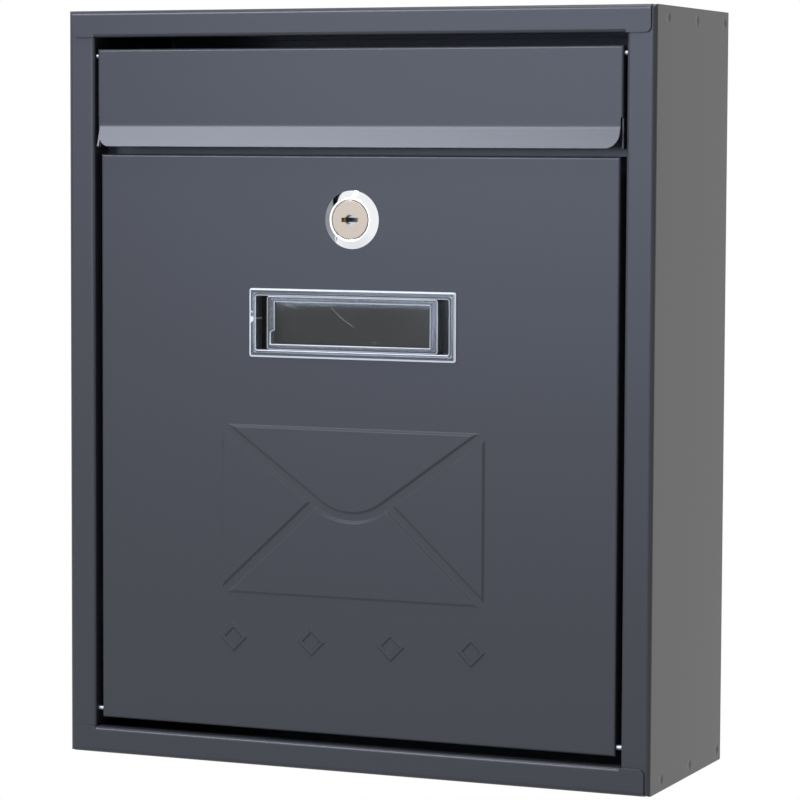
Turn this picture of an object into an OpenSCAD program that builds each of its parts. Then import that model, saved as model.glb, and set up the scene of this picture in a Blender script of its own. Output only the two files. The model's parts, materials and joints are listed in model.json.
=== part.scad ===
// Wall mailbox in folded sheet steel: a letter flap above a drop-down door with a cam lock,
// a clear name holder and a pressed envelope sign.
// Origin: on the wall plane, at the centre of the four wall screw holes.
// X to the right as seen from the front, Y into the wall, Z up. Lengths in millimetres.

/* [Body] */
// Width over the side walls
body_w = 262; // [220:1:340]
// Height over the top and bottom panels
body_h = 316; // [290:1:400]
// Depth from the wall to the front of the side frames
body_d = 96; // [60:1:140]
// Sheet steel thickness
sheet_t = 0.8; // [0.6:0.1:1]
// Outside bend radius of the body corners
corner_r = 2; // [1.6:0.1:3]
// Outside bend radius of the frame's inner folds
frame_fold_r = 1.5; // [1.2:0.1:2]
// Gap left between two sheets that are spot-welded together
weld_gap = 0.1; // [0.05:0.05:0.2]
// Length of the hidden weld tabs
tab_len = 10; // [6:1:14]

/* [Spot welds] */
// Number of welds along each side tab
weld_n = 3; // [2:1:4]
// Distance from the front to the first weld
weld_first = 15; // [10:1:24]
// Spacing of the welds
weld_pitch = 37; // [14:1:38]
// Height of the welds above the tab's fold
weld_rise = 4.8; // [3:0.1:6]
// Diameter of a weld's mark
weld_mark_d = 4.6; // [3:0.1:6]
// Depth of a weld's mark
weld_mark_deep = 0.3; // [0.1:0.05:0.4]

/* [Front frame] */
// Width of the side frames
side_frame_w = 12.3; // [8:0.1:16]
// Height of the top frame
top_frame_h = 11.2; // [9:0.1:18]
// Height of the bottom frame
bottom_frame_h = 11.2; // [9:0.1:14]
// Depth of the side frames' returns, which carry the hinge pins
jamb_d = 12; // [8:0.5:12]
// Depth of the top and bottom frames' returns
lip_return_d = 6; // [4:0.5:9]
// Radius of the loose corners of the top and bottom frames
frame_corner_r = 2.5; // [1:0.1:4]

/* [Wall fixing] */
// Hole spacing across
hole_dx = 180; // [100:5:190]
// Hole spacing up
hole_dz = 220; // [100:5:240]
// Hole diameter
hole_d = 6.5; // [4:0.5:9]

/* [Letter rail] */
// Depth of the rail's face behind the front of the side frames
rail_d = 12.4; // [12.4:0.1:16]
// Height of the rail's face
rail_h = 21; // [18:0.5:26]
// Length of the shelf that leads the mail in
shelf_len = 18; // [10:1:26]
// Fall of the shelf towards the back, in degrees
shelf_fall = 10; // [0:1:20]

/* [Letter flap] */
// Gap above the flap
flap_top_gap = 4.9; // [3.6:0.1:7]
// Gap at each side of the flap
flap_side_gap = 1.4; // [0.8:0.1:2.4]
// Height of the flap
flap_h = 41; // [38:0.5:60]
// Depth of the flap's face behind the side frames
flap_recess = 0.4; // [0:0.1:1]
// Height of the finger lip along the bottom edge
lip_h = 8.8; // [6:0.2:10]
// Angle of the finger lip from upright
lip_angle = 18; // [12:1:40]
// Bend radius where the finger lip flares out
lip_bend_r = 6; // [3:0.5:10]
// Radius of the finger lip's corners
lip_corner_r = 6; // [2:0.5:6]
// Height at which the side folds end, above the lip
lip_relief_h = 3.6; // [2:0.2:6]
// Depth of the fold along the flap's top edge
flap_top_return = 7; // [4:0.5:9]

/* [Door] */
// Gap between the flap and the door
door_top_gap = 3.1; // [2.4:0.1:6]
// Gap below the door
door_bottom_gap = 4; // [3.4:0.1:6]
// Gap at each side of the door
door_side_gap = 2.6; // [1.2:0.1:3]
// Depth of the door's face behind the side frames
door_recess = 1.2; // [0.6:0.1:2]
// Outside bend radius of the folds of the door and the flap
panel_fold_r = 1; // [1:0.1:1.3]
// Gap between the folds of the closed door and flap and the rail that stops them
stop_gap = 0.3; // [0.2:0.1:0.6]

/* [Hinge pins] */
// Pin diameter
pin_d = 2.4; // [1.8:0.1:2.6]
// Running clearance on the pin's radius
pin_clear = 0.06; // [0.02:0.01:0.1]
// Depth of the pins behind the face that they carry
pin_behind = 2.5; // [2.5:0.1:3]
// Height of the flap's pins below the flap's top edge
flap_pin_drop = 2.9; // [2.6:0.1:4]
// Height of the door's pins above the door's bottom edge
door_pin_rise = 3.5; // [3:0.1:4.5]
// Thickness of the pin's head
pin_head_t = 1; // [0.6:0.1:1.6]
// Length of the pin past the frame's return
pin_past = 2; // [1:0.5:4]

/* [Lock] */
// Height of the lock's centre below the door's top edge
lock_drop = 26.4; // [24:0.1:27]
// Diameter of the bezel where it meets the door
bezel_d = 24; // [21:0.5:28]
// Diameter of the bezel's raised rim
rim_d = 18.8; // [18.4:0.1:19.8]
// Height of the rim above the door
rim_h = 2.6; // [2:0.1:4]
// Width of the rim
rim_w = 1.3; // [1:0.1:1.5]
// Diameter of the barrel
barrel_d = 16; // [15:0.5:18]
// Width of the barrel across its two flats
barrel_flats = 14; // [13:0.5:15]
// Diameter of the plug
plug_d = 11; // [9:0.5:11.5]
// Thickness of the plug's head with its cap
plug_head_t = 1.4; // [1.2:0.1:1.6]
// Thickness of the pressed cap on the plug
cap_t = 0.4; // [0.3:0.1:0.6]
// Length of the key slot
key_l = 7.6; // [5:0.1:8]
// Width of the key slot
key_w = 1.8; // [1.2:0.1:2.4]
// Diameter of the round eye in the middle of the key slot
key_eye_d = 4.6; // [2:0.1:5]
// Depth of the cam's face behind the rail
cam_gap = 0.8; // [0.4:0.1:2]
// Cam thickness
cam_t = 1.6; // [1:0.1:2.5]
// Cam width
cam_w = 14; // [12:0.5:18]
// Cam length from the lock's centre to the tip
cam_len = 27; // [26:0.5:32]
// Width of the nut across its flats
nut_af = 20; // [19:0.5:22]
// Thickness of the nut
nut_t = 3; // [2:0.5:4]
// Thickness of the washer
washer_t = 0.8; // [0.5:0.1:1.5]
// Number of wafers in the plug
wafer_n = 4; // [2:1:5]

/* [Name holder] */
// Width of the bezel
name_w = 92.6; // [70:1:110]
// Height of the bezel
name_h = 28.6; // [22:0.5:34]
// Distance of the bezel's top from the door's top edge
name_drop = 55.3; // [50:0.1:64]
// Width of the bezel's rim
name_rim = 3; // [2:0.1:4]
// Thickness of the bezel in front of the door
name_proud = 1; // [0.6:0.1:1.6]
// Wall thickness of the clear mouldings
clear_t = 1; // [0.8:0.1:1.4]
// Depth of the pocket behind the door's face
pocket_d = 6; // [5:0.5:8]
// Width of the card cover
cover_w = 76.7; // [50:0.5:90]
// Width of the cover's raised edge at its two ends
cover_rim = 3.5; // [2.5:0.1:5]
// Width of the cover's raised edge along the top and bottom
cover_edge = 2.4; // [1.5:0.1:3]
// Width of the finger step at the cover's left end
cover_step = 1.8; // [0.5:0.1:2]

/* [Pressed signs] */
// Width of the envelope
env_w = 118.3; // [90:0.1:150]
// Height of the envelope
env_h = 71; // [50:0.5:90]
// Distance of the envelope's top from the door's top edge
env_drop = 112.5; // [105:0.5:120]
// Height of the pressed panels above the door
emboss_h = 0.6; // [0.3:0.05:0.7]
// Width of the pressed panels' sloped edge
emboss_slope = 1; // [0.5:0.1:1.2]
// Width of the channels between the panels
channel_w = 2.9; // [2:0.1:5]
// Depth of the envelope flap's point, before it is rounded
env_point = 42.7; // [30:0.1:48]
// Radius of the rounded point, along the middle of the channel
env_point_r = 25.1; // [12:0.1:30]
// Number of lozenges in the row below the envelope
mark_n = 4; // [1:1:6]
// Spacing of the lozenges
mark_pitch = 35.8; // [20:0.2:40]
// Size of a lozenge from point to point
mark_d = 13; // [8:0.5:18]
// Width of a lozenge's raised line, measured towards its middle
mark_line = 3; // [2:0.1:4]
// Width of the sloped edges of a lozenge's line
mark_slope = 0.9; // [0.5:0.1:1]
// Distance from the envelope's bottom to the lozenges' centres
mark_drop = 18.6; // [12:0.2:24]

/* [Hidden] */
$fn = 64;

steel_colour = "#4f545d";
zinc_colour = "#b9bcc0";
chrome_colour = "#d9dce0";
satin_colour = "#c9c1b4";
brass_colour = "#b08d4c";
clear_colour = "#c9d3dc";

// Overlap that makes a cut pass cleanly through a face
over = 1;

// Limits of the body
x_side = body_w / 2;
z_top = body_h / 2;
z_bottom = -body_h / 2;
y_front = -body_d;

// The pin's head just clears the bend between the face and the fold
pin_head_d = 2 * (pin_behind - panel_fold_r - 0.02);

// Front opening inside the frame
x_open = x_side - side_frame_w;
z_open_top = z_top - top_frame_h;
z_open_bottom = z_bottom + bottom_frame_h;

// Flap
flap_x = x_open - flap_side_gap;
flap_top = z_open_top - flap_top_gap;
flap_bottom = flap_top - flap_h;
flap_pin_z = flap_top - flap_pin_drop;
flap_pin_y = y_front + flap_recess + pin_behind;

// Door
door_x = x_open - door_side_gap;
door_top = flap_bottom - door_top_gap;
door_bottom = z_open_bottom + door_bottom_gap;
door_pin_z = door_bottom + door_pin_rise;
door_pin_y = y_front + door_recess + pin_behind;
door_y = y_front + door_recess;

// Folds of the door and the flap end just in front of the rail
fold_end_y = y_front + rail_d - stop_gap;

// Rail
rail_y = y_front + rail_d;
rail_bottom = door_top - 7.5;
rail_top = rail_bottom + rail_h;

// Lock
lock_z = door_top - lock_drop;
barrel_r = barrel_d / 2;
cam_y = rail_y + sheet_t + cam_gap;
barrel_len = cam_y - door_y - 0.3;
bore_r = plug_d / 2 + 0.05;
seat_r = rim_d / 2 - rim_w;
head_r = seat_r - 0.1;
seat_s = rim_h - plug_head_t - 0.3;
tail_w = 7;
cam_washer_t = 0.8;
screw_r = 1.9;
screw_in = 4;

// Name holder
name_z = door_top - name_drop - name_h / 2;
pocket_w = name_w - 2 * name_rim;
pocket_h = name_h - 2 * name_rim + 2 * clear_t;
cutout_gap = 0.3;
cover_h = pocket_h - 2 * clear_t - 0.3;
cover_front = name_proud - 0.3;

// Signs
env_top = door_top - env_drop;
env_bottom = env_top - env_h;
mark_z = env_bottom - mark_drop;

// Geometry helpers

// Places a shape drawn as seen from the front; its own Z points out of the mailbox
module seen_from_front(x, y, z) {
    translate([x, y, z]) rotate([90, 0, 0]) children();
}

// Runs a profile drawn in Y and Z across the width
module across(width) {
    rotate([90, 0, 90]) linear_extrude(width, center = true) children();
}

// Runs a profile drawn in X and Y upwards between two heights
module upward(low, high) {
    translate([0, 0, low]) linear_extrude(high - low) children();
}

function unit(v) = v / norm(v);
function left_of(v) = [-v[1], v[0]];
function heading(p, i) = unit(p[i + 1] - p[i]);
// Vector that carries the meeting point of two lines as both shift sideways by one
function mitre(m, n) = (m + n) / (1 + m * n);
function edge_point(p, i, side) =
    i == 0 ? p[0] + left_of(heading(p, 0)) * side :
    i == len(p) - 1 ? p[i] + left_of(heading(p, i - 1)) * side :
    p[i] + mitre(left_of(heading(p, i - 1)), left_of(heading(p, i))) * side;

// Section of a folded sheet: a centre line of corners p, with the outside bend radii r
module folded_section(p, r, t) {
    n = len(p);
    difference() {
        union() {
            polygon(concat(
                [for (i = [0:n - 1]) edge_point(p, i, t / 2)],
                [for (i = [n - 1:-1:0]) edge_point(p, i, -t / 2)]
            ));
            for (i = [1:n - 2]) bend_zone(p, i, r[i - 1], r[i - 1] - t, 0, r[i - 1] - t / 2);
        }
        for (i = [1:n - 2]) bend_zone(p, i, r[i - 1], r[i - 1], r[i - 1] - t / 2, r[i - 1] + over);
    }
}

// The part of a bend between two reaches from its centre, less a circle
module bend_zone(p, i, outside_r, circle_r, low, high) {
    a = heading(p, i - 1);
    b = heading(p, i);
    // Towards the outside of the bend, across each of its two sheets
    hand = sign(a[0] * b[1] - a[1] * b[0]);
    across_a = -left_of(a) * hand;
    across_b = -left_of(b) * hand;
    corner = mitre(across_a, across_b);
    shift = sheet_t / 2 - outside_r;
    translate(p[i] + corner * shift) difference() {
        polygon([across_a * low, across_a * high, corner * high, across_b * high, across_b * low]);
        circle(circle_r);
    }
}

// Rectangle with round corners, centred
module round_rect(w, h, r) {
    square([w - 2 * r, h], center = true);
    square([w, h - 2 * r], center = true);
    for (sx = [-1, 1], sy = [-1, 1])
        translate([sx * (w / 2 - r), sy * (h / 2 - r)]) circle(r);
}

// Body

// One sheet folded round the back and both sides, with the side frames and their returns
module body_wrap() {
    side_x = x_side - sheet_t / 2;
    jamb_x = x_open + sheet_t / 2;
    face_y = y_front + sheet_t / 2;
    back_y = -sheet_t / 2;
    color(steel_colour) difference() {
        upward(z_bottom, z_top) folded_section(
            [
                [-jamb_x, y_front + jamb_d], [-jamb_x, face_y], [-side_x, face_y], [-side_x, back_y],
                [side_x, back_y], [side_x, face_y], [jamb_x, face_y], [jamb_x, y_front + jamb_d]
            ],
            [frame_fold_r, corner_r, corner_r, corner_r, corner_r, frame_fold_r],
            sheet_t
        );
        for (s = [-1, 1]) {
            // Front flanges stop below the folds of the top and bottom panels
            relief = s > 0 ? z_top - corner_r - weld_gap : z_bottom + corner_r + weld_gap;
            translate([0, y_front, relief + s * corner_r])
                cube([2 * (x_side - corner_r), 2 * corner_r + over, 2 * corner_r], center = true);
            // Returns stop at the inside of the top and bottom frames
            jamb_stop = s > 0 ? z_open_top : z_open_bottom;
            jamb_cut = s > 0 ? top_frame_h : bottom_frame_h;
            for (sx = [-1, 1])
                translate([sx * x_open, y_front + frame_fold_r + jamb_d / 2, jamb_stop + s * jamb_cut / 2])
                    cube([2 * frame_fold_r, jamb_d, jamb_cut], center = true);
            // Round corners of the side walls at the back and the front
            for (f = [-1, 1])
                across(body_w + 2) translate([f > 0 ? 0 : y_front, s * z_top]) outside_corner(f, s);
            weld_marks(s);
            hinge_holes(s > 0 ? flap_pin_y : door_pin_y, s > 0 ? flap_pin_z : door_pin_z);
            for (sx = [-1, 1])
                seen_from_front(sx * hole_dx / 2, over, s * hole_dz / 2)
                    cylinder(d = hole_d, h = sheet_t + 2 * over);
        }
    }
}

// Area outside a round corner, drawn with short straight sides
module outside_corner(f, s) {
    polygon(concat(
        [for (a = [0:15:90]) [f * corner_r * (cos(a) - 1), s * corner_r * (sin(a) - 1)]],
        [[-f * corner_r, s * over], [f * over, s * over], [f * over, -s * corner_r]]
    ));
}

// Shallow marks that the spot welds leave on the side walls, along the end panels' tabs
module weld_marks(s) {
    ball_r = (pow(weld_mark_d / 2, 2) / weld_mark_deep + weld_mark_deep) / 2;
    for (sx = [-1, 1], k = [0:weld_n - 1])
        translate([sx * (x_side + ball_r - weld_mark_deep),
                   y_front + weld_first + k * weld_pitch, s * (z_top - weld_rise)])
            rotate([0, 90, 0]) sphere(ball_r, $fn = 96);
}

// A pair of running holes for hinge pins through the side frames' returns
module hinge_holes(y, z) {
    for (sx = [-1, 1])
        translate([sx * x_open, y, z]) rotate([0, 90, 0])
            cylinder(d = pin_d + 2 * pin_clear, h = 4 * sheet_t, center = true);
}

// Top or bottom panel, drawn as the top one: frame, round fold, flat, and weld tabs inside
module end_panel(frame_h) {
    face_y = y_front - sheet_t / 2;
    flat_z = z_top - sheet_t / 2;
    tab_y = -sheet_t * 1.5 - weld_gap;
    edge_z = z_top - frame_h;
    flat_half = x_side - corner_r - weld_gap;
    inner_half = x_open - weld_gap * 2;
    tab_x = x_side - sheet_t * 1.5 - weld_gap;
    foot = max(frame_fold_r, frame_corner_r);
    // Full width: frame up to its return, round fold, flat and back tab
    across(2 * flat_half) folded_section(
        [
            [face_y, edge_z + foot], [face_y, flat_z], [tab_y, flat_z], [tab_y, z_top - tab_len]
        ],
        [corner_r, corner_r], sheet_t
    );
    // Between the side frames the edge is folded back
    across(2 * inner_half) folded_section(
        [
            [face_y, edge_z + foot + 0.5], [face_y, edge_z + sheet_t / 2],
            [y_front - sheet_t + lip_return_d, edge_z + sheet_t / 2]
        ],
        [frame_fold_r], sheet_t
    );
    // Loose round corners that lie on the side frames
    for (s = [-1, 1])
        seen_from_front(s * (inner_half + flat_half) / 2, y_front, edge_z)
            linear_extrude(sheet_t) intersection() {
                translate([-s * frame_corner_r, frame_h / 2])
                    round_rect(flat_half - inner_half + 2 * frame_corner_r, frame_h, frame_corner_r);
                translate([0, foot / 2])
                    square([flat_half - inner_half, foot], center = true);
            }
    // Side tabs
    across_y = -y_front - 2 * corner_r - 2;
    translate([0, -corner_r - 1, 0]) rotate([90, 0, 0]) linear_extrude(across_y - corner_r)
        folded_section(
            [
                [-tab_x, z_top - tab_len], [-tab_x, flat_z], [tab_x, flat_z], [tab_x, z_top - tab_len]
            ],
            [frame_fold_r, frame_fold_r], sheet_t
        );
}

module top_panel() {
    color(steel_colour) end_panel(top_frame_h);
}

module bottom_panel() {
    color(steel_colour) mirror([0, 0, 1]) end_panel(bottom_frame_h);
}

// Rail across the body: stops the flap and the door, catches the cam and leads the mail in
module letter_rail() {
    web_y = rail_y + sheet_t / 2;
    shelf_dir = [cos(shelf_fall), -sin(shelf_fall)];
    shelf_start = [web_y, rail_top - sheet_t / 2];
    shelf_end = shelf_start + shelf_dir * shelf_len;
    end_x = x_side - sheet_t * 1.5 - weld_gap;
    clear_half = end_x - 3 * frame_fold_r;
    color(steel_colour) {
        across(2 * clear_half) folded_section(
            [[web_y, rail_bottom], shelf_start, shelf_end, shelf_end - [0, 5]],
            [frame_fold_r, frame_fold_r], sheet_t
        );
        upward(rail_bottom, rail_top - 2 * frame_fold_r) folded_section(
            [[-end_x, web_y + tab_len], [-end_x, web_y], [end_x, web_y], [end_x, web_y + tab_len]],
            [frame_fold_r, frame_fold_r], sheet_t
        );
    }
}

// Flap

// Folded letter flap with a flared finger lip
module flap() {
    face_y = y_front + flap_recess + sheet_t / 2;
    lip_z = flap_bottom + lip_h;
    lip_out = lip_h * tan(lip_angle);
    relief_z = lip_z + lip_relief_h;
    half = flap_x - panel_fold_r;
    color(steel_colour) difference() {
        union() {
            // Top fold, face and lip
            across(2 * half) folded_section(
                [
                    [y_front + flap_top_return, flap_top - sheet_t / 2], [face_y, flap_top - sheet_t / 2],
                    [face_y, lip_z], [face_y - lip_out, flap_bottom]
                ],
                [panel_fold_r, lip_bend_r], sheet_t
            );
            // Face and side folds
            upward(relief_z, flap_top - panel_fold_r) folded_section(
                [
                    [-flap_x + sheet_t / 2, fold_end_y], [-flap_x + sheet_t / 2, face_y],
                    [flap_x - sheet_t / 2, face_y], [flap_x - sheet_t / 2, fold_end_y]
                ],
                [panel_fold_r, panel_fold_r], sheet_t
            );
            // Side folds run on down behind the lip
            for (s = [-1, 1]) {
                translate([s * (flap_x - sheet_t / 2), (fold_end_y + y_front + flap_recess + panel_fold_r) / 2,
                           (flap_bottom + relief_z + over) / 2])
                    cube([sheet_t, fold_end_y - y_front - flap_recess - panel_fold_r,
                          relief_z + over - flap_bottom], center = true);
                fold_corner(s * half, y_front + flap_recess + panel_fold_r, flap_top - panel_fold_r, s, 1);
            }
        }
        // Lip corners
        for (s = [-1, 1])
            seen_from_front(s * half, y_front + flap_recess + sheet_t + 0.1, flap_bottom)
                linear_extrude(lip_out + 8) corner_cut(lip_corner_r, s);
        pin_seats(flap_x, flap_pin_y, flap_pin_z);
    }
}

// Area outside a round corner at the lower right (s = 1) or lower left (s = -1)
module corner_cut(r, s) {
    difference() {
        translate([-r, -over]) square([2 * r, r + over]);
        translate([-s * r, r]) circle(r);
        translate([s > 0 ? -r - over : 0, -over]) square([over, r + 2 * over]);
    }
}

// Closed corner between two folds that meet in a mitre; sx and sz point outwards
module fold_corner(x, y, z, sx, sz) {
    r = panel_fold_r;
    translate([x, y, z]) intersection() {
        across(4 * r) mirror([0, sz < 0 ? 1 : 0]) rotate(90) bend_end(r);
        upward(-2 * r, 2 * r) mirror([sx < 0 ? 1 : 0, 0]) mirror([0, 1]) bend_end(r);
    }
}

// End of a bend: X runs on outwards, Y towards the bend's outside
module bend_end(r) {
    intersection() {
        translate([-1, -1]) round_rect(2 * r + 2, 2 * r + 2, r);
        translate([-0.5, 0]) square([r + 0.5, r]);
    }
}

// Holes that hold the hinge pins in a pair of side folds
module pin_seats(half, y, z) {
    for (s = [-1, 1])
        translate([s * half, y, z]) rotate([0, 90, 0])
            cylinder(d = pin_d, h = 4 * sheet_t, center = true);
}

// Headed pin that points outwards: s is -1 for the left and 1 for the right
module hinge_pin(s, half, y, z) {
    inner = half - sheet_t;
    reach = x_open + sheet_t + pin_past - inner;
    color(zinc_colour) translate([s * inner, y, z]) rotate([0, s * 90, 0]) {
        cylinder(d = pin_d, h = reach - pin_d / 2);
        translate([0, 0, reach - pin_d / 2]) sphere(d = pin_d);
        translate([0, 0, -pin_head_t]) cylinder(d = pin_head_d, h = pin_head_t);
    }
}

module flap_pin_left() { hinge_pin(-1, flap_x, flap_pin_y, flap_pin_z); }
module flap_pin_right() { hinge_pin(1, flap_x, flap_pin_y, flap_pin_z); }
module door_pin_left() { hinge_pin(-1, door_x, door_pin_y, door_pin_z); }
module door_pin_right() { hinge_pin(1, door_x, door_pin_y, door_pin_z); }

// Door

// Pan folded on all four edges, with the pressed signs, the lock hole and the name cut-out
module door() {
    face_y = door_y + sheet_t / 2;
    half = door_x - panel_fold_r;
    color(steel_colour) difference() {
        union() {
            across(2 * half) folded_section(
                [
                    [fold_end_y, door_bottom + sheet_t / 2], [face_y, door_bottom + sheet_t / 2],
                    [face_y, door_top - sheet_t / 2], [fold_end_y, door_top - sheet_t / 2]
                ],
                [panel_fold_r, panel_fold_r], sheet_t
            );
            upward(door_bottom + panel_fold_r, door_top - panel_fold_r) folded_section(
                [
                    [-door_x + sheet_t / 2, fold_end_y], [-door_x + sheet_t / 2, face_y],
                    [door_x - sheet_t / 2, face_y], [door_x - sheet_t / 2, fold_end_y]
                ],
                [panel_fold_r, panel_fold_r], sheet_t
            );
            for (s = [-1, 1]) {
                fold_corner(s * half, door_y + panel_fold_r, door_top - panel_fold_r, s, 1);
                fold_corner(s * half, door_y + panel_fold_r, door_bottom + panel_fold_r, s, -1);
            }
            seen_from_front(0, door_y + 0.05, 0) pressed_signs(0);
        }
        // The press leaves the signs hollow behind
        seen_from_front(0, door_y + sheet_t + over, 0) hollow_signs(emboss_h + over);
        seen_from_front(0, door_y + over, lock_z) lock_outline(2 * over + sheet_t, 0.15);
        seen_from_front(0, door_y + sheet_t + over, name_z) linear_extrude(sheet_t + 2 * over)
            square([pocket_w + 2 * clear_t + cutout_gap, pocket_h + cutout_gap], center = true);
        pin_seats(door_x, door_pin_y, door_pin_z);
    }
}

// Barrel outline with two flats, grown by a clearance
module lock_outline(h, gap) {
    translate([0, 0, -sheet_t]) intersection() {
        cylinder(r = barrel_r + gap, h = h);
        translate([0, 0, h / 2]) cube([3 * barrel_r, barrel_flats + 2 * gap, 2 * h], center = true);
    }
}

// Corners of the envelope's panels, drawn inside its outline and shrunk by k
env_x = env_w / 2;
point_z = env_top - env_point;
upper_slope = (env_top - point_z) / env_x;
upper_angle = atan(upper_slope);
fold_x = env_point_r * sin(upper_angle) + channel_w / 2;
fold_z = point_z + upper_slope * fold_x;
lower_slope = (fold_z - env_bottom) / (env_x - fold_x);
lower_angle = atan(lower_slope);
arc_z = point_z + env_point_r / cos(upper_angle);

// Envelope flap: a triangle whose point is an arc
module envelope_flap(k) {
    shift = (channel_w / 2 + k) / cos(upper_angle);
    arc_r = env_point_r - channel_w / 2 - k;
    top = env_top - k;
    x = (top - point_z - shift) / upper_slope;
    touch_x = arc_r * sin(upper_angle);
    touch_z = arc_z - arc_r * cos(upper_angle);
    polygon(concat(
        [[-x, top], [-touch_x, touch_z]],
        [for (a = [-upper_angle + 4:4:upper_angle - 4]) [arc_r * sin(a), arc_z - arc_r * cos(a)]],
        [[touch_x, touch_z], [x, top]]
    ));
}

// Left side panel of the envelope
module envelope_side(k) {
    up = (channel_w / 2 + k) / cos(upper_angle);
    low = (channel_w / 2 + k) / cos(lower_angle);
    x0 = -env_x + k;
    tip_x = -(fold_z - point_z + up + low + lower_slope * fold_x) / (upper_slope + lower_slope);
    tip_z = point_z - up - upper_slope * tip_x;
    polygon([
        [x0, point_z - up - upper_slope * x0],
        [tip_x, tip_z],
        [x0, env_bottom + low + lower_slope * (x0 + env_x)]
    ]);
}

// Bottom panel of the envelope, before the arc is taken out of its point
module envelope_base(k) {
    low = (channel_w / 2 + k) / cos(lower_angle);
    z0 = env_bottom + k;
    top_z = fold_z + lower_slope * fold_x - low;
    x = (top_z - z0) / lower_slope;
    polygon([[-x, z0], [x, z0], [0, top_z]]);
}

// A lozenge's raised line with sloped edges, for a press of height h
module raised_lozenge(h) {
    far = mark_d / 2;
    near = far - mark_line;
    run = mark_slope * over / h;
    difference() {
        cylinder(r1 = far, r2 = far - mark_slope, h = h, $fn = 4);
        translate([0, 0, -over])
            cylinder(r1 = near - run, r2 = near + mark_slope + run, h = h + 2 * over, $fn = 4);
    }
}

// A pressed panel: its foot on the door and its smaller top, joined by sloped edges
module pressed(h) {
    hull() {
        linear_extrude(0.05) children(0);
        translate([0, 0, h]) linear_extrude(0.05) children(1);
    }
}

module at_marks() {
    for (i = [0:mark_n - 1])
        translate([(i - (mark_n - 1) / 2) * mark_pitch, mark_z, 0]) children();
}

module pressed_signs(k) {
    h = emboss_h;
    pressed(h) { envelope_flap(k); envelope_flap(k + emboss_slope); }
    for (s = [0, 1]) mirror([s, 0, 0])
        pressed(h) { envelope_side(k); envelope_side(k + emboss_slope); }
    difference() {
        pressed(h) { envelope_base(k); envelope_base(k + emboss_slope); }
        translate([0, arc_z, -over]) cylinder(
            r1 = env_point_r + channel_w / 2 - emboss_slope * over / h,
            r2 = env_point_r + channel_w / 2 + emboss_slope * (h + over) / h,
            h = h + 2 * over, $fn = 128
        );
    }
    at_marks() raised_lozenge(h);
}

// Hollow left behind the signs, one sheet thickness smaller all round
module hollow_signs(h) {
    k = emboss_slope;
    linear_extrude(h) {
        envelope_flap(k);
        for (s = [0, 1]) mirror([s, 0]) envelope_side(k);
        difference() {
            envelope_base(k);
            translate([0, arc_z]) circle(env_point_r + channel_w / 2 + k, $fn = 128);
        }
    }
    at_marks() difference() {
        cylinder(r = mark_d / 2 - mark_slope, h = h, $fn = 4);
        translate([0, 0, -over]) cylinder(r = mark_d / 2 - mark_line + mark_slope, h = h + 2 * over, $fn = 4);
    }
}

// Lock

// Places a turned part on the lock's axis; its own Z points out of the door, from the door's face
module on_lock_axis() {
    seen_from_front(0, door_y, lock_z) children();
}

// Chrome barrel with a coned bezel, a raised rim and two flats
module lock_body() {
    rim_r = rim_w / 2;
    rim_middle = rim_d / 2 - rim_r;
    color(chrome_colour) on_lock_axis() difference() {
        union() {
            rotate_extrude() {
                polygon([
                    [bore_r, 0], [bezel_d / 2, 0], [bezel_d / 2, 0.3],
                    [rim_middle + rim_r * 0.7, rim_h - rim_r * 0.3], [rim_middle, rim_h - rim_r],
                    [bore_r, rim_h - rim_r]
                ]);
                translate([rim_middle, rim_h - rim_r]) circle(rim_r);
            }
            intersection() {
                translate([0, 0, -barrel_len]) cylinder(r = barrel_r, h = barrel_len);
                cube([3 * barrel_r, barrel_flats, 3 * barrel_len], center = true);
            }
        }
        // Seat for the plug's head, and the plug's bore
        translate([0, 0, seat_s]) cylinder(r = seat_r, h = rim_h);
        translate([0, 0, -barrel_len - over]) cylinder(r = bore_r, h = barrel_len + rim_h + over);
    }
}

// Plug with its head, the key slot, the wafer slots and a square tail
module lock_plug() {
    foot = -barrel_len - 0.3;
    color(zinc_colour) on_lock_axis() difference() {
        union() {
            translate([0, 0, seat_s + 0.1]) cylinder(r = head_r - cap_t, h = plug_head_t - cap_t);
            translate([0, 0, foot]) cylinder(d = plug_d, h = seat_s + 0.2 - foot);
            translate([0, 0, foot - cam_t / 2]) cube([tail_w, tail_w, cam_t], center = true);
        }
        translate([0, 0, seat_s - 0.4]) cylinder(d = key_eye_d - 0.6, h = rim_h);
        translate([0, 0, wafer_low() + (rim_h - wafer_low()) / 2])
            cube([key_l, key_w, rim_h - wafer_low()], center = true);
        for (i = [0:wafer_n - 1]) translate([0, 0, wafer_s(i)])
            cube([wafer_w() + 0.1, wafer_h() + 0.1, wafer_t() + 0.1], center = true);
        translate([0, 0, foot - cam_t - over]) cylinder(r = screw_r + 0.03, h = screw_in + 0.3 + over);
    }
}

function wafer_t() = 0.6;
function wafer_w() = plug_d * 0.84;
function wafer_h() = plug_d * 0.46;
function wafer_s(i) = seat_s - 1.4 - 1.7 * i;
function wafer_low() = wafer_s(wafer_n - 1) - 1;

// Pressed steel cap over the plug's head, with the keyhole
module plug_cap() {
    outer = head_r;
    low = seat_s + 0.1;
    color(satin_colour) on_lock_axis() difference() {
        translate([0, 0, low]) rotate_extrude() {
            square([outer - 0.3, plug_head_t]);
            square([outer, plug_head_t - 0.3]);
            translate([outer - 0.3, plug_head_t - 0.3]) circle(0.3);
        }
        translate([0, 0, low - over]) cylinder(r = outer - cap_t, h = plug_head_t - cap_t + over);
        translate([0, 0, low]) cylinder(d = key_eye_d, h = plug_head_t + over);
        translate([0, 0, low + plug_head_t]) cube([key_l, key_w, 4], center = true);
    }
}

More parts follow.
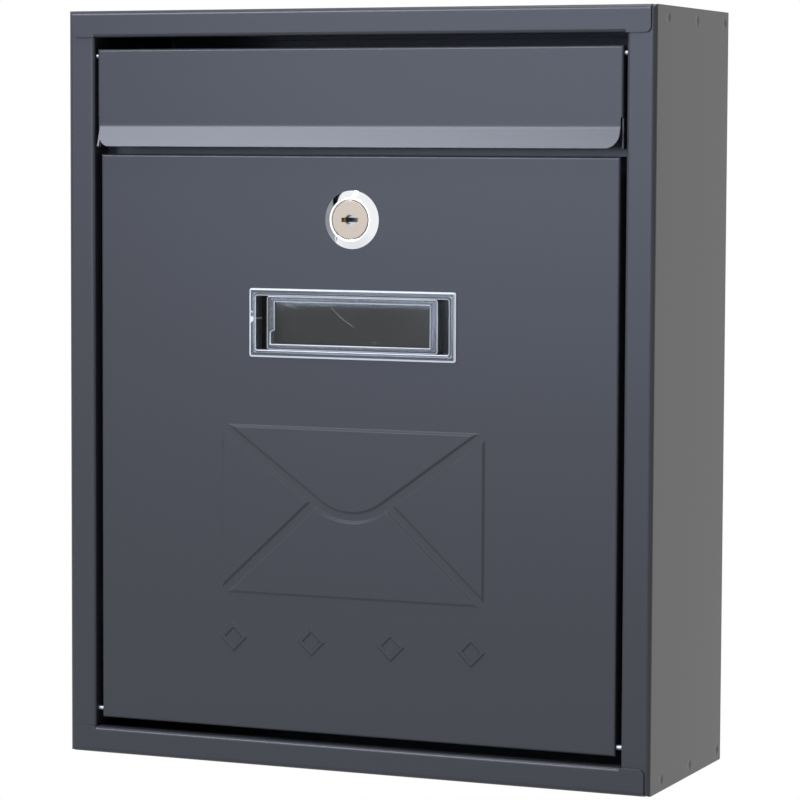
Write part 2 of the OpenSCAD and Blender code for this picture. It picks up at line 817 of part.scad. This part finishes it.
// Brass wafers across the plug, each with a window for the key
module lock_wafers() {
    color(brass_colour) on_lock_axis() for (i = [0:wafer_n - 1])
        translate([0, 0, wafer_s(i)]) difference() {
            cube([wafer_w(), wafer_h(), wafer_t()], center = true);
            translate([-0.4 - 0.2 * (i % 3), 0, 0])
                cube([key_l - 2.2, key_w + 0.8, 2 * wafer_t()], center = true);
        }
}

module lock_washer() {
    color(zinc_colour) on_lock_axis()
        translate([0, 0, -sheet_t - washer_t]) difference() {
            cylinder(d = bezel_d - 2, h = washer_t);
            translate([0, 0, -over + sheet_t]) lock_outline(washer_t + 2 * over, 0.15);
        }
}

module lock_nut() {
    color(zinc_colour) on_lock_axis()
        translate([0, 0, -sheet_t - washer_t - nut_t]) difference() {
            intersection() {
                cylinder(d = nut_af / cos(30), h = nut_t, $fn = 6);
                translate([0, 0, -over]) cylinder(d1 = nut_af / cos(30) + 3, d2 = nut_af - 0.6 + over, h = nut_t + over);
            }
            translate([0, 0, -over]) cylinder(r = barrel_r + 0.02, h = nut_t + 2 * over);
        }
}

// Flat steel cam, at rest out to the right
module lock_cam() {
    color(zinc_colour) seen_from_front(0, cam_y + cam_t, lock_z) difference() {
        linear_extrude(cam_t) {
            circle(d = cam_w);
            translate([0, -cam_w / 2]) square([cam_len - 3, cam_w]);
            translate([cam_len - 3, 0]) round_rect(6, cam_w, 2.9);
        }
        translate([0, 0, cam_t / 2]) cube([tail_w + 0.05, tail_w + 0.05, 2 * cam_t], center = true);
    }
}

module cam_washer() {
    color(zinc_colour) seen_from_front(0, cam_y + cam_t + cam_washer_t, lock_z) difference() {
        cylinder(d = 11, h = cam_washer_t);
        translate([0, 0, -over]) cylinder(r = screw_r + 0.2, h = cam_washer_t + 2 * over);
    }
}

// Hex head screw that holds the cam on the plug's tail
module cam_screw() {
    head_h = 2.6;
    head_y = cam_y + cam_t + cam_washer_t + head_h;
    color(zinc_colour) seen_from_front(0, head_y, lock_z) {
        intersection() {
            cylinder(d = 7 / cos(30), h = head_h, $fn = 6);
            cylinder(d1 = 6.8, d2 = 6.8 + 4 * head_h, h = head_h);
        }
        cylinder(r = screw_r, h = head_h + cam_washer_t + screw_in);
    }
}

// Name holder

// Clear moulding: a bezel in front of the door and a pocket through the cut-out
module name_holder() {
    color(clear_colour) seen_from_front(0, door_y, name_z) difference() {
        union() {
            linear_extrude(name_proud - 0.4) round_rect(name_w, name_h, 1);
            linear_extrude(name_proud) round_rect(name_w - 0.8, name_h - 0.8, 0.8);
            translate([0, 0, -pocket_d]) linear_extrude(pocket_d + over / 2)
                round_rect(pocket_w + 2 * clear_t, pocket_h, 1.2);
        }
        translate([0, 0, -pocket_d + clear_t]) linear_extrude(pocket_d + over)
            round_rect(pocket_w, pocket_h - 2 * clear_t, 0.8);
    }
}

// Clear card cover with a raised edge and a finger step at the left
module name_cover() {
    skirt = pocket_d - clear_t;
    pane_w = cover_w - 2 * cover_rim;
    pane_h = cover_h - 2 * cover_edge;
    step_r = 2.5;
    color(clear_colour) seen_from_front(0, door_y, name_z) difference() {
        translate([0, 0, -skirt]) linear_extrude(skirt + cover_front) round_rect(cover_w, cover_h, 1.2);
        // Hollow for the card
        translate([0, 0, -skirt - over]) linear_extrude(skirt + over + cover_front - 1.6)
            round_rect(cover_w - 2 * clear_t, cover_h - 2 * clear_t, 0.6);
        // Pane inside the raised edge
        translate([0, 0, cover_front - 0.6]) linear_extrude(over) {
            square([pane_w, pane_h], center = true);
            translate([-pane_w / 2 - cover_step, -pane_h / 2]) square([cover_step + step_r, 5.6 - step_r]);
            translate([-pane_w / 2, -pane_h / 2 + 5.6 - step_r]) intersection() {
                circle(step_r);
                translate([-cover_step, -step_r]) square(2 * step_r);
            }
        }
    }
}

body_wrap();
top_panel();
bottom_panel();
letter_rail();
flap();
flap_pin_left();
flap_pin_right();
door();
door_pin_left();
door_pin_right();
lock_body();
lock_plug();
plug_cap();
lock_wafers();
lock_washer();
lock_nut();
lock_cam();
cam_washer();
cam_screw();
name_holder();
name_cover();
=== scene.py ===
"""A wall mailbox in folded sheet steel with an anthracite powder coat, in plain studio light."""
import json
import math

import bmesh
import bpy
from mathutils import Matrix, Vector

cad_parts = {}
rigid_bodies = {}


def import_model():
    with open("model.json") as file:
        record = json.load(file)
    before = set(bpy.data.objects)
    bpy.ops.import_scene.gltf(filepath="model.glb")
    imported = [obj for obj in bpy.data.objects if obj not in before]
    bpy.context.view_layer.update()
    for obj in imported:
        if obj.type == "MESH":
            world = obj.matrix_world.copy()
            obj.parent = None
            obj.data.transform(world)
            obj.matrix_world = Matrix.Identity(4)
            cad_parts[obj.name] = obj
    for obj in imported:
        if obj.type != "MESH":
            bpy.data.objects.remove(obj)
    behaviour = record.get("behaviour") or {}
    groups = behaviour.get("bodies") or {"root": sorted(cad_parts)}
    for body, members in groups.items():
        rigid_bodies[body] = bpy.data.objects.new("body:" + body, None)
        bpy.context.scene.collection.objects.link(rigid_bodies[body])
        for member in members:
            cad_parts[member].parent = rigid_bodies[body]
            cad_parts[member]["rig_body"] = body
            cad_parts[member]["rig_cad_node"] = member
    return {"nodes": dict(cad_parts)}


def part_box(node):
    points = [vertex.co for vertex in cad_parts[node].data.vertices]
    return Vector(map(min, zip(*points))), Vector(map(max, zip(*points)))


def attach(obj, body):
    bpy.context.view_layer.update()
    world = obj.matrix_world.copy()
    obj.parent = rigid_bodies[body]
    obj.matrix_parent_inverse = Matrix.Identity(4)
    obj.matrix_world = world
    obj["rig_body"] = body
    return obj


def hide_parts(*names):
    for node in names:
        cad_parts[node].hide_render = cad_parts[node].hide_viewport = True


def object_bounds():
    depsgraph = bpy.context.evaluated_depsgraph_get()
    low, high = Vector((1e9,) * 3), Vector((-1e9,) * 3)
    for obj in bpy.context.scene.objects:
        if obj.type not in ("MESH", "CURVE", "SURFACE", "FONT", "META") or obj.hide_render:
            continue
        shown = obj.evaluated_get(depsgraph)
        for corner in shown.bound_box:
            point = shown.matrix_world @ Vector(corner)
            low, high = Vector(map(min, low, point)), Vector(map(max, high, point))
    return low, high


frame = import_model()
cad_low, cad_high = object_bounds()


# Body, letter flap, door and rail: cut from sheet steel, folded, spot welded and powder coated.
# Polyester powder is sprayed on dry and baked: a satin anthracite paint that gathers softly on the
# folds, and keeps a fine orange peel that breaks up the highlights.
def linear(hex_colour):
    """An sRGB hex colour as the linear values that the shader takes."""
    channels = [int(hex_colour[i:i + 2], 16) / 255 for i in (1, 3, 5)]
    return tuple(c / 12.92 if c <= 0.04045 else ((c + 0.055) / 1.055) ** 2.4 for c in channels) + (1.0,)


def add_node(tree, kind, settings=None, values=None, links=None):
    """Adds a node; settings are its properties, values its sockets, links the sockets that feed it."""
    node = tree.nodes.new(kind)
    for name, value in (settings or {}).items():
        setattr(node, name, value)
    for name, value in (values or {}).items():
        node.inputs[name].default_value = value
    for name, source in (links or {}).items():
        tree.links.new(source, node.inputs[name])
    return node


def new_material(name):
    """An empty material with its output node."""
    material = bpy.data.materials.new(name)
    material.use_nodes = True
    material.node_tree.nodes.clear()
    return material, material.node_tree, add_node(material.node_tree, "ShaderNodeOutputMaterial")


# The waves of the peel are about half a millimetre wide and a few hundredths high; the paint rounds
# each sheet edge by about half the sheet's thickness.
PEEL_WIDTH = 0.00055
PEEL_DEPTH = 0.00003
PAINTED_EDGE_R = 0.0004


def powder_coat(name, colour, roughness):
    """Satin paint with rounded corners and a fine orange peel."""
    material, tree, output = new_material(name)
    place = add_node(tree, "ShaderNodeTexCoord").outputs["Object"]
    grain = add_node(tree, "ShaderNodeTexNoise",
                     values={"Scale": 1 / PEEL_WIDTH, "Detail": 1.0, "Roughness": 0.6},
                     links={"Vector": place})
    rounded = add_node(tree, "ShaderNodeBevel", {"samples": 4}, {"Radius": PAINTED_EDGE_R})
    peel = add_node(tree, "ShaderNodeBump", values={"Strength": 0.5, "Distance": PEEL_DEPTH},
                    links={"Height": grain.outputs[0], "Normal": rounded.outputs["Normal"]})
    paint = add_node(tree, "ShaderNodeBsdfPrincipled",
                     values={"Base Color": linear(colour), "Roughness": roughness, "IOR": 1.4},
                     links={"Normal": peel.outputs["Normal"]})
    tree.links.new(paint.outputs["BSDF"], output.inputs["Surface"])
    return material


def dress(node, material):
    """Gives a CAD node one material."""
    mesh = frame["nodes"][node].data
    mesh.materials.clear()
    mesh.materials.append(material)


anthracite = powder_coat("anthracite powder coat", "#38383d", 0.30)
for steel_node in ("body_wrap", "top_panel", "bottom_panel", "letter_rail", "flap", "door"):
    dress(steel_node, anthracite)


# Hinge pins: short headed pins of turned steel, pressed into the folds of the flap and the door.
# Bright zinc plating gives them a cool grey shine, broad because the turned skin is not polished.
def plated_metal(name, colour, roughness):
    """A metal finish with one colour and one sheen."""
    material, tree, output = new_material(name)
    metal = add_node(tree, "ShaderNodeBsdfPrincipled",
                     values={"Base Color": linear(colour), "Metallic": 1.0, "Roughness": roughness})
    tree.links.new(metal.outputs["BSDF"], output.inputs["Surface"])
    return material


bright_zinc = plated_metal("bright zinc plate", "#8f9296", 0.36)
for pin in ("flap_pin_left", "flap_pin_right", "door_pin_left", "door_pin_right"):
    dress(pin, bright_zinc)


# Cam lock: a cast barrel with a polished chrome bezel, held in the door by a hex nut and washer.
# Its plug has a brushed satin cap, warmer and duller than the bezel, and stamped brass wafers show
# in the keyhole. The plug, nut, washers, cam and screw behind the door are zinc plated.
for fastener in ("lock_washer", "lock_nut", "lock_cam", "cam_washer", "cam_screw", "lock_plug"):
    dress(fastener, bright_zinc)

chrome = plated_metal("bright chrome plate", "#eff1f4", 0.05)
dress("lock_body", chrome)
satin_nickel = plated_metal("satin nickel plate", "#9c8f80", 0.42)
dress("plug_cap", satin_nickel)
stamped_brass = plated_metal("stamped brass", "#a5834a", 0.4)
dress("lock_wafers", stamped_brass)


# Name holder and card cover: injection moulded in clear acrylic, and pressed into the door from the
# front. The moulded rims are a little cloudy, their front corners carry painted highlights as thin
# pale lines, and only the card window is really clear. Handling has left a few fine scratches and a
# nick.
HOLDER_EDGE_R = 0.00035
COVER_EDGE_R = 0.00032
SHARP = math.radians(40)
FLAT = math.radians(0.5)
SAME_POINT = 0.000002
IN_FRONT_PLANE = 0.00002
NAME_Z = (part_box("name_holder")[0].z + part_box("name_holder")[1].z) / 2

# Each mark: x and z from the middle of the holder, length, width, and slope in degrees
WINDOW_MARKS = (
    (-0.0090, 0.0066, 0.0052, 0.00014, 48), (-0.0053, 0.0031, 0.0056, 0.00014, 41),
    (-0.0010, 0.0001, 0.0052, 0.00013, 33), (-0.0292, 0.0072, 0.0035, 0.00016, 20),
    (-0.0262, 0.0064, 0.0024, 0.00022, 12), (0.0100, -0.0070, 0.0006, 0.00050, 0),
)
RIM_MARKS = ((-0.0452, 0.0014, 0.0018, 0.0026, 20), (-0.0450, 0.0045, 0.0010, 0.0006, 60))


def marks_mask(tree, marks):
    """A mask that is 1 inside each small mark and 0 elsewhere."""
    place = add_node(tree, "ShaderNodeTexCoord").outputs["Object"]
    mask = None
    for x, z, length, width, slope in marks:
        spot = add_node(tree, "ShaderNodeMapping", {"vector_type": "TEXTURE"},
                        {"Location": (x, 0, NAME_Z + z), "Rotation": (0, math.radians(slope), 0),
                         "Scale": (length / 2, 1, width / 2)}, {"Vector": place})
        reach = add_node(tree, "ShaderNodeVectorMath", {"operation": "LENGTH"},
                         links={0: spot.outputs[0]})
        inside = add_node(tree, "ShaderNodeMath", {"operation": "LESS_THAN"}, {1: 1.0},
                          {0: reach.outputs["Value"]}).outputs[0]
        if mask:
            inside = add_node(tree, "ShaderNodeMath", {"operation": "MAXIMUM"},
                              links={0: mask, 1: inside}).outputs[0]
        mask = inside
    return mask


def acrylic(name, colour, roughness, transmission, ior=1.49, marks=(), mark_strength=0.0):
    """Clear or cloudy acrylic; its marks are matt and pale, as scratches in plastic are."""
    material, tree, output = new_material(name)
    surface = add_node(tree, "ShaderNodeBsdfPrincipled",
                       values={"Base Color": linear(colour), "Roughness": roughness, "IOR": ior,
                               "Transmission Weight": transmission}).outputs["BSDF"]
    if marks:
        scuffed = add_node(tree, "ShaderNodeBsdfPrincipled",
                           values={"Base Color": linear("#eef0f2"), "Roughness": 0.6}).outputs["BSDF"]
        amount = add_node(tree, "ShaderNodeMath", {"operation": "MULTIPLY"}, {1: mark_strength},
                          {0: marks_mask(tree, marks)}).outputs[0]
        surface = add_node(tree, "ShaderNodeMixShader",
                           links={0: amount, 1: surface, 2: scuffed}).outputs[0]
    tree.links.new(surface, output.inputs["Surface"])
    return material


# In a plain white room the window would mirror so much light that it looked grey. Its IOR stays
# below the 1.49 of acrylic, so that the dark inside of the mailbox shows through.
WINDOW_IOR = 1.3
clear_window = acrylic("clear moulded acrylic", "#f4f6f7", 0.02, 1.0, ior=WINDOW_IOR)
scratched_window = acrylic("clear moulded acrylic, scratched", "#f4f6f7", 0.02, 1.0,
                           ior=WINDOW_IOR, marks=WINDOW_MARKS, mark_strength=0.35)
cloudy_rim = acrylic("cloudy moulded acrylic", "#c4c8cd", 0.10, 0.85,
                     marks=RIM_MARKS, mark_strength=0.9)
# Painted highlight: a pale, mostly opaque finish on the rounded front corners and small steps of the
# acrylic, which makes them show as bright lines.
painted_highlight_edge = acrylic("acrylic edges painted pale as highlights", "#f2f4f6", 0.30, 0.15)


def deselect():
    bpy.ops.object.select_all(action="DESELECT")


def joined_copy(node, name):
    """A copy of a CAD solid, its loose triangles joined into faces, to finish as its own piece."""
    deselect()
    solid = frame["nodes"][node]
    solid.select_set(True)
    bpy.context.view_layer.objects.active = solid
    bpy.ops.object.duplicate()
    piece = bpy.context.active_object
    piece.name = name
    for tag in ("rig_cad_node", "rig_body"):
        del piece[tag]
    bpy.ops.mesh.customdata_custom_splitnormals_clear()
    bpy.ops.object.mode_set(mode="EDIT")
    bpy.ops.mesh.select_all(action="SELECT")
    bpy.ops.mesh.remove_doubles(threshold=SAME_POINT)
    bpy.ops.mesh.dissolve_limited(angle_limit=FLAT)
    bpy.ops.object.mode_set(mode="OBJECT")
    piece.data.materials.clear()
    return piece


# The panes are the only faces this large, and lie this far behind the front of the rim. The
# small faces of the steps just behind the front get the pale painted highlight too. Slot 0 is the
# cloudy rim.
PANE_AREA, PANE_BEHIND = 0.0008, 0.0003
STEP_AREA, STEP_FROM, STEP_TO = 0.0003, 0.0001, 0.0010
PAINTED_HIGHLIGHT_SLOT, WINDOW = 1, 2


def finish_moulding(piece, edge_r, window):
    """Makes the large panes clear, and rounds the front corners and paints them pale as bright
    highlight lines.
    """
    for finish in (cloudy_rim, painted_highlight_edge, window):
        piece.data.materials.append(finish)
    front = min(vertex.co.y for vertex in piece.data.vertices)
    for face in piece.data.polygons:
        behind = face.center.y - front
        if face.area > PANE_AREA and abs(face.normal.y) > 0.9 and behind > PANE_BEHIND:
            face.material_index = WINDOW
        elif STEP_FROM < behind < STEP_TO and face.area < STEP_AREA:
            face.material_index = PAINTED_HIGHLIGHT_SLOT
    bpy.ops.object.mode_set(mode="EDIT")
    bpy.ops.mesh.select_mode(type="EDGE")
    bpy.ops.mesh.select_all(action="DESELECT")
    shape = bmesh.from_edit_mesh(piece.data)
    for edge in shape.edges:
        at_front = all(vertex.co.y - front < IN_FRONT_PLANE for vertex in edge.verts)
        edge.select_set(at_front and edge.calc_face_angle(0) > SHARP)
    bmesh.update_edit_mesh(piece.data)
    # The rounded front corners take the pale painted-highlight finish.
    bpy.ops.mesh.bevel(offset=edge_r, segments=2, material=PAINTED_HIGHLIGHT_SLOT, clamp_overlap=False)
    bpy.ops.object.mode_set(mode="OBJECT")
    bpy.ops.object.shade_smooth_by_angle(angle=SHARP)


holder = joined_copy("name_holder", "moulded_name_holder")
finish_moulding(holder, HOLDER_EDGE_R, clear_window)
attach(holder, "door")
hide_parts("name_holder")

cover = joined_copy("name_cover", "moulded_card_cover")
finish_moulding(cover, COVER_EDGE_R, scratched_window)
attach(cover, "door")
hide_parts("name_cover")


# Studio: a plain white room with three soft lamps, and the camera at the photograph's angle. The
# mailbox hangs over a sheet of white paper, high enough for its door to drop open.
PAPER_SIZE = 24
PAPER_BELOW = 0.17
PAPER_WHITE_FROM, PAPER_WHITE_AT = 0.18, 0.6
PAPER_NEAR_WHITE = 0.75


def seen_directly(tree):
    """1 for rays of the camera, of mirrors and of glass, which all see the room as plain white."""
    path = add_node(tree, "ShaderNodeLightPath")
    seen = path.outputs["Is Camera Ray"]
    for also in ("Is Glossy Ray", "Is Transmission Ray"):
        seen = add_node(tree, "ShaderNodeMath", {"operation": "MAXIMUM"},
                        links={0: seen, 1: path.outputs[also]}).outputs[0]
    return seen


def soft_white():
    """Lit paper near the mailbox, which fades to the room's plain white away from it."""
    material, tree, output = new_material("white paper")
    paper = add_node(tree, "ShaderNodeBsdfPrincipled",
                     values={"Base Color": linear("#bdbdbd"), "Roughness": 0.9})
    shown = add_node(tree, "ShaderNodeBsdfDiffuse", values={"Color": linear("#c8c8c8")})
    glow = add_node(tree, "ShaderNodeEmission", values={"Color": (1, 1, 1, 1), "Strength": 1.0})
    place = add_node(tree, "ShaderNodeTexCoord").outputs["Object"]
    reach = add_node(tree, "ShaderNodeVectorMath", {"operation": "LENGTH"}, links={0: place})
    fade = add_node(tree, "ShaderNodeMapRange", {"interpolation_type": "SMOOTHSTEP"},
                    {"From Min": PAPER_WHITE_FROM, "From Max": PAPER_WHITE_AT,
                     "To Min": PAPER_NEAR_WHITE, "To Max": 1.0},
                    {"Value": reach.outputs["Value"]})
    seen = add_node(tree, "ShaderNodeMixShader",
                    links={0: fade.outputs["Result"], 1: shown.outputs[0], 2: glow.outputs[0]})
    mix = add_node(tree, "ShaderNodeMixShader",
                   links={0: seen_directly(tree), 1: paper.outputs["BSDF"], 2: seen.outputs[0]})
    tree.links.new(mix.outputs[0], output.inputs["Surface"])
    return material


deselect()
bpy.ops.mesh.primitive_plane_add(size=PAPER_SIZE, location=(0, 0, cad_low[2] - PAPER_BELOW))
floor = bpy.context.active_object
floor.name = "floor"
floor.data.materials.append(soft_white())

world = bpy.data.worlds.new("studio")
bpy.context.scene.world = world
world.use_nodes = True
room_tree = world.node_tree
room_tree.nodes.clear()
room = add_node(room_tree, "ShaderNodeBackground", values={"Color": (1, 1, 1, 1)},
                links={"Strength": seen_directly(room_tree)})
add_node(room_tree, "ShaderNodeOutputWorld", links={"Surface": room.outputs[0]})


def soft_lamp(name, place, size, watts, colour):
    """A rectangular softbox aimed at the middle of the mailbox."""
    deselect()
    bpy.ops.object.light_add(type="AREA", location=place)
    lamp = bpy.context.active_object
    lamp.name = name
    lamp.rotation_euler = (-Vector(place)).to_track_quat("-Z", "Y").to_euler()
    lamp.data.shape = "RECTANGLE"
    lamp.data.size, lamp.data.size_y = size
    lamp.data.energy = watts
    lamp.data.color = colour


soft_lamp("overhead lamp", (0, -0.382, 2.167), (1.4, 1.0), 34, (1.0, 1.0, 1.0))
soft_lamp("key lamp", (-0.835, -1.712, 1.1), (0.9, 0.5), 32.5, (0.81, 0.86, 1.0))
soft_lamp("front lamp", (-0.305, -2.167, 0.23), (1.6, 0.6), 12.8, (0.63, 0.76, 1.0))

CAMERA_AT = Vector((0.5574, -1.3657, 0.1016))
YAW, PITCH, ROLL = (math.radians(a) for a in (22.859, 4.298, 0.252))
FOCAL_PIXELS, PICTURE_PIXELS = 3376.1, 800
SENSOR_MM = 36

camera_data = bpy.data.cameras.new("camera")
camera = bpy.data.objects.new("camera", camera_data)
bpy.context.collection.objects.link(camera)
look = Vector((-math.sin(YAW) * math.cos(PITCH), math.cos(YAW) * math.cos(PITCH), -math.sin(PITCH)))
right = Vector((math.cos(YAW), math.sin(YAW), 0))
up = right.cross(look)
right, up = (right * math.cos(ROLL) + up * math.sin(ROLL), up * math.cos(ROLL) - right * math.sin(ROLL))
camera.matrix_world = Matrix.Translation(CAMERA_AT) @ Matrix((right, up, -look)).transposed().to_4x4()
camera_data.sensor_width = SENSOR_MM
camera_data.lens = SENSOR_MM * FOCAL_PIXELS / PICTURE_PIXELS
camera_data.clip_start, camera_data.clip_end = 0.01, 50
bpy.context.scene.camera = camera
bpy.context.scene.view_settings.view_transform = "Standard"
